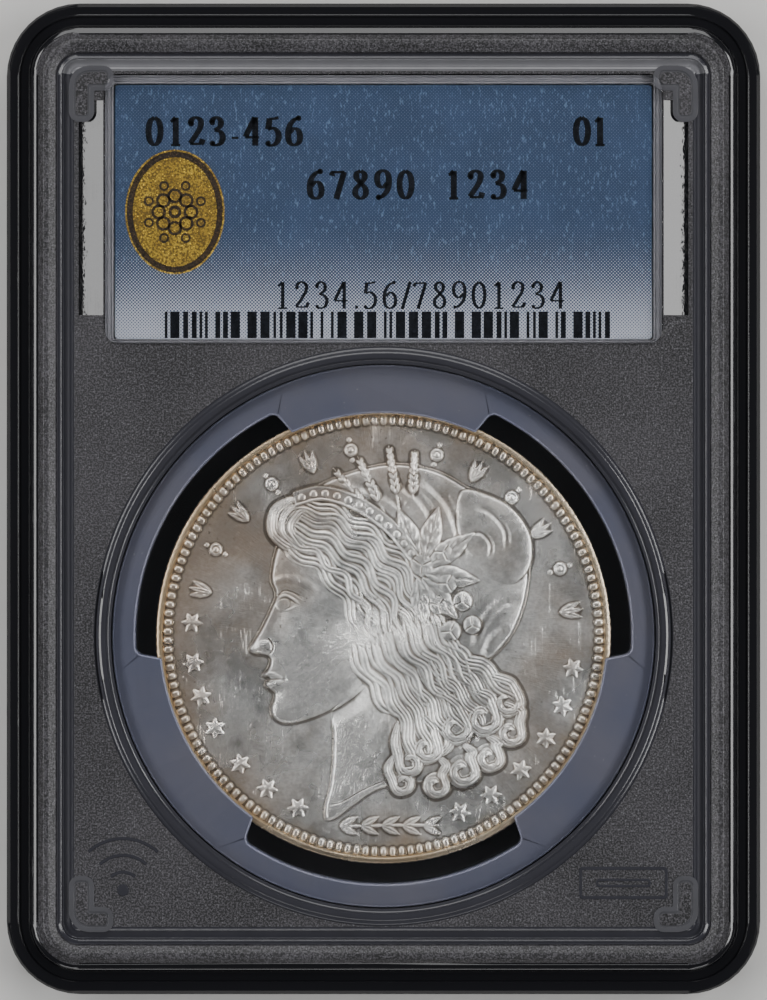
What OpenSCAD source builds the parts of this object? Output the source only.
// Graded coin slab: a sealed two-shell case that shows a coin and its label from both sides.
// The case lies on its back. X is its width, Y its height with the label at the top, and Z its
// thickness, with the origin in the middle of the back face. Lengths are in millimetres.

/* [Case] */
// Width of the case, edge to edge
case_w = 62.9; // [62.6:0.1:65]
// Height of the case, edge to edge
case_h = 82.7; // [82.5:0.1:85]
// Thickness of the case over the stacking ridge
case_t = 7.6; // [7.4:0.1:8.2]
// Radius of the four outer corners
corner_r = 6.1; // [5.9:0.1:7]
// Thickness of the flange that runs round the case
flange_t = 3.2; // [2.8:0.1:3.6]
// Depth of the front face below the crest of the stacking ridge
field_drop = 1.0; // [0.9:0.05:1.1]
// Depth of the ledge round the back that seats on the ridge of the next case
stack_step = 0.9; // [0.7:0.05:1]

/* [Coin] */
// Diameter of the coin
coin_d = 38.1; // [37.6:0.1:38.3]
// Thickness of the coin at its rim
coin_t = 2.4; // [1.8:0.1:2.8]
// Distance of the coin's centre below the middle of the case
coin_drop = 11.45; // [11.4:0.05:11.6]
// Width of the coin's raised rim
coin_rim_w = 0.9; // [0.5:0.1:1.2]
// Height of the coin's rim above its field
coin_rim_h = 0.2; // [0.1:0.05:0.3]

/* [Coin ring] */
// Outer radius of the soft ring that holds the coin
ring_r = 22.65; // [22.3:0.05:22.68]
// Radius of the outer wall of the three openings
gap_r = 20.7; // [20.3:0.1:21.2]
// Half of the angle that an opening spans at its outer wall
gap_half = 34; // [28:1:36]
// Half of the angle between the two sides of an opening
gap_flare = 19; // [15:1:24]
// Radius of an opening's rounded corners
gap_round = 0.7; // [0.4:0.1:0.9]
// Overlap of the prongs' lips on the face of the coin's rim
lip_over = 0.45; // [0.2:0.05:0.6]
// Radial gap between the coin's edge and the groove that holds it
coin_clearance = 0.04; // [0.02:0.01:0.08]

/* [Label] */
// Width of the label cards
label_w = 44.8; // [44:0.1:44.8]
// Height of the label cards
label_h = 21.2; // [20.4:0.1:21.2]
// Thickness of the front card
front_card_t = 0.3; // [0.2:0.05:0.4]
// Thickness of the rear card, which has a pocket for the radio tag
rear_card_t = 0.55; // [0.5:0.05:0.7]
// Distance of the label's centre above the middle of the case
label_rise = 23.92; // [23.9:0.02:24.1]
// Width of the oval foil seal on the front card
seal_w = 8.3; // [6:0.1:9]
// Height of the oval foil seal on the front card
seal_h = 10.4; // [9.4:0.1:12]

/* [Radio tag] */
// Width of the tag's film
film_w = 24; // [21:1:30]
// Height of the tag's film
film_h = 15; // [14:1:17]
// Number of turns of the antenna
turns = 5; // [3:1:5]
// Width of an antenna track, which is also the space between two tracks
track_w = 0.45; // [0.35:0.05:0.5]
// Side of the square chip
chip_side = 1.2; // [1:0.1:1.6]

/* [Hidden] */
$fn = 96;

// Margin by which a cutting solid passes the face that it cuts, and by which two joined ones overlap
cut = 1;
join = 0.2;

// Heights of the main levels above the back face
seam_z = case_t / 2;
flange_low = seam_z - flange_t / 2;
flange_high = seam_z + flange_t / 2;
pane_t = 1.2;
front_face = case_t - field_drop;
front_in = front_face - pane_t;
window_sink = 0.3;
rear_in = window_sink + pane_t;

// Insets of the rim's features from the outer edge, working inwards
edge_round = 0.25;
flange_line = 1.0;
ridge_out = 1.95;
crest_out = 3.05;
crest_in = 3.55;
ridge_in = 4.3;
ledge_in = 4.5;
moat_out = 4.7;
moat_in = 5.1;
bead_out = 5.3;
bead_in = 5.6;
field_in = 5.8;
wall_in = 4.4;
pane_in = 5.5;

// Heights of the rim's small steps
flange_sink = 0.2;
bead_h = 0.1;
moat_depth = 0.25;
shelf_h = 0.4;

// Tongue and groove that carry the ultrasonic weld
tongue_out = 2.5;
tongue_w = 0.9;
tongue_h = 1.0;
weld_tip = 0.18;
groove_gap = 0.05;
groove_h = 1.2;

// Round window over the coin, with its raised lip and the wall that houses the ring
coin_y = -coin_drop;
lip_r = 24.15;
lip_h = 0.35;
lip_in = 22.7;
boss_r = 22.7;
boss_w = 0.95;
boss_tongue_w = 0.45;
boss_tongue_h = 0.6;
nest = 0.25;

// Label window, the slanted facets beside it, the frame that centres the cards and their backing wall
pad_w = 46.5;
pad_h = 0.2;
pad_low = 12.95;
pad_high = case_h / 2 - bead_in;
pad_mid = (pad_low + pad_high) / 2;
pad_r = 1.2;
frame_play = 0.2;
frame_wall = 0.65;
backing_wall = 0.8;
backing_inset = 0.2;
facet_x = 23.4;
facet_w = 1.55;
facet_depth = 0.5;
facet_low = 15.6;
facet_high = 31.4;

// L-shaped corner locators: a post on the rear shell in a socket on the front shell
ell_in = 5.25;
ell_w = 3.7;
ell_h = 4.7;
ell_arm = 2.1;
ell_round = 0.85;
ell_wall = 0.45;
ell_play = 0.06;

// Coin levels and the groove in the ring
coin_mid = (rear_in + front_in) / 2;
groove_play = 0.05;
edge_bevel = 0.1;

// Card levels, from the front window down, and the radio tag between the cards
card_gap = 0.05;
card_split = front_in - card_gap - front_card_t;
card_low = card_split - rear_card_t;
foil_t = 0.04;
track_t = 0.03;
film_t = 0.08;
chip_t = 0.15;
film_z = card_split - track_t - film_t;
track_z = film_z - track_t;
pocket_depth = track_t + film_t + track_t + chip_t + 0.04;
pocket_play = 0.3;
tag_x = 4;
tag_y = label_rise;
film_margin = 0.8;
post_w = 0.3;
post_play = 0.05;
seal_x = -17.4;

// Front rim as [inset, height] points: up the edge, over the ridge, into the face and back below
front_rim = [
    [0, seam_z],
    [0, flange_high - edge_round],
    [edge_round, flange_high],
    [flange_line, flange_high],
    [flange_line + 0.05, flange_high - flange_sink],
    [ridge_out - 0.1, flange_high - flange_sink],
    [ridge_out, case_t - 0.8],
    [ridge_out + 0.4, case_t - 0.35],
    [crest_out, case_t],
    [crest_in, case_t],
    [ridge_in - 0.1, case_t - 0.15],
    [ridge_in, front_face + shelf_h],
    [moat_out - 0.1, front_face + shelf_h],
    [moat_out, front_face - moat_depth],
    [moat_in, front_face - moat_depth],
    [bead_out, front_face + bead_h],
    [bead_in, front_face + bead_h],
    [field_in, front_face],
    [field_in, front_in],
    [wall_in, front_in],
    [wall_in, seam_z],
    [tongue_out + tongue_w + groove_gap, seam_z],
    [tongue_out + tongue_w + groove_gap, seam_z + groove_h],
    [tongue_out - groove_gap, seam_z + groove_h],
    [tongue_out - groove_gap, seam_z]
];

// Rear rim in the same way: across the seam with its tongue, then down to the back and outwards
rear_rim = [
    [0, seam_z],
    [tongue_out, seam_z],
    [tongue_out, seam_z + tongue_h],
    [tongue_out + tongue_w / 2, seam_z + tongue_h + weld_tip],
    [tongue_out + tongue_w, seam_z + tongue_h],
    [tongue_out + tongue_w, seam_z],
    [wall_in, seam_z],
    [wall_in, rear_in],
    [field_in, rear_in],
    [field_in, 0],
    [ledge_in + 0.2, 0],
    [ledge_in, stack_step],
    [ridge_out + 0.1, stack_step],
    [ridge_out, stack_step + 0.1],
    [ridge_out - 0.1, flange_low],
    [edge_round, flange_low],
    [0, flange_low + edge_round]
];

// Rectangle with rounded corners, centred on the origin
module rounded_rect(w, h, r) {
    square([w - 2 * r, h], center = true);
    square([w, h - 2 * r], center = true);
    for (x = [-1, 1], y = [-1, 1])
        translate([x * (w / 2 - r), y * (h / 2 - r)]) circle(r);
}

// Upright oval with straight flanks and round ends
module oval(w, h) {
    square([w, h - w], center = true);
    for (y = [-1, 1])
        translate([0, y * (h - w) / 2]) circle(w / 2);
}

// A rim outline carried round the four sides and the four corners of the case
module rim(outline) {
    for (k = [0:3]) {
        half = k % 2 == 0 ? case_h / 2 : case_w / 2;
        run = (k % 2 == 0 ? case_w : case_h) - 2 * corner_r;
        rotate([0, 0, 90 * k]) {
            translate([-run / 2, -half, 0])
                rotate([90, 0, 90]) linear_extrude(run) polygon(outline);
            translate([run / 2, -half + corner_r, 0])
                rotate([0, 0, -90]) rotate_extrude(angle = 90)
                    polygon([for (p = outline) [corner_r - p[0], p[1]]]);
        }
    }
}

// Flat plate of a shell inside the rim
module pane(low, high) {
    translate([0, 0, low]) linear_extrude(high - low)
        rounded_rect(case_w - 2 * pane_in, case_h - 2 * pane_in, corner_r - pane_in);
}

// Tube round the coin's centre
module coin_tube(r_in, r_out, low, high) {
    translate([0, coin_y, low]) difference() {
        cylinder(h = high - low, r = r_out);
        translate([0, 0, -cut]) cylinder(h = high - low + 2 * cut, r = r_in);
    }
}

// Rectangular wall round the label's centre
module label_wall(w, h, wall, low, high) {
    translate([0, label_rise, low]) linear_extrude(high - low) difference() {
        rounded_rect(w, h, frame_wall);
        square([w - 2 * wall, h - 2 * wall], center = true);
    }
}

// The four L-shaped outlines, one in each corner, drawn in by shrink all round
module corner_ells(shrink, low, high) {
    w = ell_w - 2 * shrink;
    h = ell_h - 2 * shrink;
    arm = ell_arm - 2 * shrink;
    r = ell_round - shrink;
    for (x = [0, 1], y = [0, 1])
        mirror([x, 0, 0]) mirror([0, y, 0])
            translate([ell_in + shrink - case_w / 2, ell_in + shrink - case_h / 2, low])
                linear_extrude(high - low) {
                    translate([w / 2, arm / 2]) rounded_rect(w, arm, min(r, arm / 2 - 0.01));
                    translate([arm / 2, h / 2]) rounded_rect(arm, h, min(r, arm / 2 - 0.01));
                }
}

// Raised lip round the coin window
module window_lip() {
    translate([0, coin_y, 0]) rotate_extrude()
        polygon([
            [lip_in - 0.1, front_face - join],
            [lip_r, front_face - join],
            [lip_r, front_face + lip_h / 4],
            [lip_r - lip_h, front_face + lip_h],
            [lip_r - 3 * lip_h, front_face + lip_h],
            [lip_in, front_face + lip_h / 4],
            [lip_in - 0.1, front_face]
        ]);
}

// Slanted recess in the face on the right of the label, deepest on its outer side
module side_facet() {
    translate([facet_x, facet_high, front_face])
        rotate([90, 0, 0]) linear_extrude(facet_high - facet_low)
            polygon([[0, 0], [facet_w, -facet_depth], [facet_w, cut], [0, cut]]);
}

module front_shell() {
    color([0.72, 0.73, 0.76, 0.35]) difference() {
        union() {
            rim(front_rim);
            pane(front_in, front_face);
            window_lip();
            translate([0, pad_mid, front_face - join]) linear_extrude(pad_h + join)
                rounded_rect(pad_w, pad_high - pad_low, pad_r);
            coin_tube(boss_r, boss_r + boss_w, seam_z, front_in + join);
            label_wall(label_w + 2 * (frame_play + frame_wall), label_h + 2 * (frame_play + frame_wall),
                       frame_wall, card_low, front_in + join);
            corner_ells(0, seam_z, front_in + join);
        }
        coin_tube(boss_r + boss_w - boss_tongue_w - groove_gap, boss_r + boss_w + cut, seam_z - cut,
                  seam_z + boss_tongue_h + groove_gap);
        corner_ells(ell_wall, seam_z - cut, front_in);
        side_facet();
        mirror([1, 0, 0]) side_facet();
    }
}

module rear_shell() {
    color([0.62, 0.63, 0.66, 0.35]) difference() {
        union() {
            rim(rear_rim);
            pane(0, rear_in);
            coin_tube(boss_r, boss_r + boss_w, rear_in - join, seam_z);
            coin_tube(boss_r + boss_w - boss_tongue_w, boss_r + boss_w, seam_z - join,
                      seam_z + boss_tongue_h);
            label_wall(label_w - 2 * backing_inset, label_h - 2 * backing_inset, backing_wall,
                       rear_in - join, card_low);
            corner_ells(ell_wall + ell_play, rear_in - join, front_in - ell_play);
        }
        translate([0, coin_y, -cut]) cylinder(h = cut + window_sink, r = lip_r + nest);
        translate([0, pad_mid, -cut]) linear_extrude(cut + window_sink)
            rounded_rect(pad_w + 2 * nest, pad_high - pad_low + 2 * nest, pad_r);
    }
}

// One opening of the ring, along +X from the coin's centre, with its two outer corners rounded
module ring_gap() {
    outer = [gap_r * cos(gap_half), gap_r * sin(gap_half)];
    apex = outer[0] - outer[1] / tan(gap_flare);
    inner_apex = apex + gap_round / sin(gap_flare);
    reach = -inner_apex * cos(gap_flare)
        + sqrt(pow(gap_r - gap_round, 2) - pow(inner_apex * sin(gap_flare), 2));
    centre = [inner_apex + reach * cos(gap_flare), reach * sin(gap_flare)];
    foot = [centre[0] - gap_round * sin(gap_flare), centre[1] + gap_round * cos(gap_flare)];
    polygon([[apex, 0], foot, centre, [centre[0], -centre[1]], [foot[0], -foot[1]]]);
    intersection() {
        circle(gap_r);
        polygon([[0, 0], 2 * centre, 2 * [centre[0], -centre[1]]]);
    }
    for (s = [-1, 1])
        translate([centre[0], s * centre[1]]) circle(gap_round);
}

module coin_ring() {
    color([0.20, 0.21, 0.28]) translate([0, coin_y, 0]) difference() {
        translate([0, 0, rear_in]) cylinder(h = front_in - rear_in, r = ring_r);
        translate([0, 0, rear_in - cut]) cylinder(h = front_in - rear_in + 2 * cut, r = coin_d / 2 - lip_over);
        translate([0, 0, coin_mid - coin_t / 2 - groove_play])
            cylinder(h = coin_t + 2 * groove_play, r = coin_d / 2 + coin_clearance);
        for (k = [0:2])
            rotate([0, 0, 30 + 120 * k]) translate([0, 0, rear_in - cut])
                linear_extrude(front_in - rear_in + 2 * cut) ring_gap();
    }
}

module coin() {
    half = coin_t / 2;
    rim_in = coin_d / 2 - coin_rim_w;
    color([0.75, 0.74, 0.70]) translate([0, coin_y, coin_mid]) rotate_extrude()
        polygon([
            [0, coin_rim_h - half],
            [rim_in - coin_rim_h, coin_rim_h - half],
            [rim_in, -half],
            [coin_d / 2 - edge_bevel, -half],
            [coin_d / 2, edge_bevel - half],
            [coin_d / 2, half - edge_bevel],
            [coin_d / 2 - edge_bevel, half],
            [rim_in, half],
            [rim_in - coin_rim_h, half - coin_rim_h],
            [0, half - coin_rim_h]
        ]);
}

// A printed card between two heights
module card(low, high) {
    translate([0, label_rise, low]) linear_extrude(high - low) rounded_rect(label_w, label_h, 0.3);
}

module front_label() {
    color([0.33, 0.42, 0.55]) card(card_split, card_split + front_card_t);
}

module rear_label() {
    color([0.70, 0.72, 0.76]) difference() {
        card(card_low, card_split);
        translate([tag_x, tag_y, card_split - pocket_depth]) linear_extrude(pocket_depth + cut)
            square([film_w + 2 * pocket_play, film_h + 2 * pocket_play], center = true);
    }
}

module foil_seal() {
    color([0.66, 0.52, 0.16]) translate([seal_x, label_rise, card_split + front_card_t])
        linear_extrude(foil_t) oval(seal_w, seal_h);
}

// Half sizes of turn k of the antenna, across and up
function turn_x(k) = film_w / 2 - film_margin - 2 * k * track_w;
function turn_y(k) = film_h / 2 - film_margin - 2 * k * track_w;

// Where the bridge meets the outer end of the antenna, and the pad beside the chip
bridge_out = [-turn_x(0), -turn_y(0)];
bridge_in = [-turn_x(turns) + chip_side, -turn_y(turns) + chip_side];

// A straight track between two points that share an X or a Y, with square ends
module track(a, b) {
    low = [min(a[0], b[0]) - track_w / 2, min(a[1], b[1]) - track_w / 2];
    high = [max(a[0], b[0]) + track_w / 2, max(a[1], b[1]) + track_w / 2];
    translate(low) square(high - low);
}

module tag_film() {
    color([0.85, 0.80, 0.60]) translate([tag_x, tag_y, film_z]) linear_extrude(film_t) difference() {
        rounded_rect(film_w, film_h, 1);
        for (p = [bridge_out, bridge_in])
            translate(p) square(post_w + 2 * post_play, center = true);
    }
}

// A square spiral that steps inwards at the end of each turn, and the pad for the chip's other leg
module tag_antenna() {
    color([0.78, 0.79, 0.80]) translate([tag_x, tag_y, track_z]) linear_extrude(track_t) {
        for (k = [0:turns - 1]) {
            track([-turn_x(k), k == 0 ? -turn_y(0) : -turn_y(k - 1)], [-turn_x(k), turn_y(k)]);
            track([-turn_x(k), turn_y(k)], [turn_x(k), turn_y(k)]);
            track([turn_x(k), turn_y(k)], [turn_x(k), -turn_y(k)]);
            track([turn_x(k), -turn_y(k)], [-turn_x(k + 1), -turn_y(k)]);
        }
        translate(bridge_in) square(chip_side / 2, center = true);
    }
}

// The strap on the film's other side, with a post through the film at each end
module tag_bridge() {
    color([0.60, 0.61, 0.62]) translate([tag_x, tag_y, 0]) {
        translate([0, 0, film_z + film_t]) linear_extrude(track_t) {
            track(bridge_out, [bridge_out[0], bridge_in[1]]);
            track([bridge_out[0], bridge_in[1]], bridge_in);
        }
        for (p = [bridge_out, bridge_in])
            translate([p[0], p[1], film_z]) linear_extrude(film_t + track_t) square(post_w, center = true);
    }
}

module tag_chip() {
    color([0.10, 0.10, 0.11]) translate([tag_x + bridge_in[0], tag_y + bridge_in[1], track_z - chip_t])
        linear_extrude(chip_t) translate([0, -chip_side / 2]) square([chip_side / 2, 2 * chip_side], center = true);
}

front_shell();
rear_shell();
coin_ring();
coin();
front_label();
rear_label();
foil_seal();
tag_film();
tag_antenna();
tag_bridge();
tag_chip();
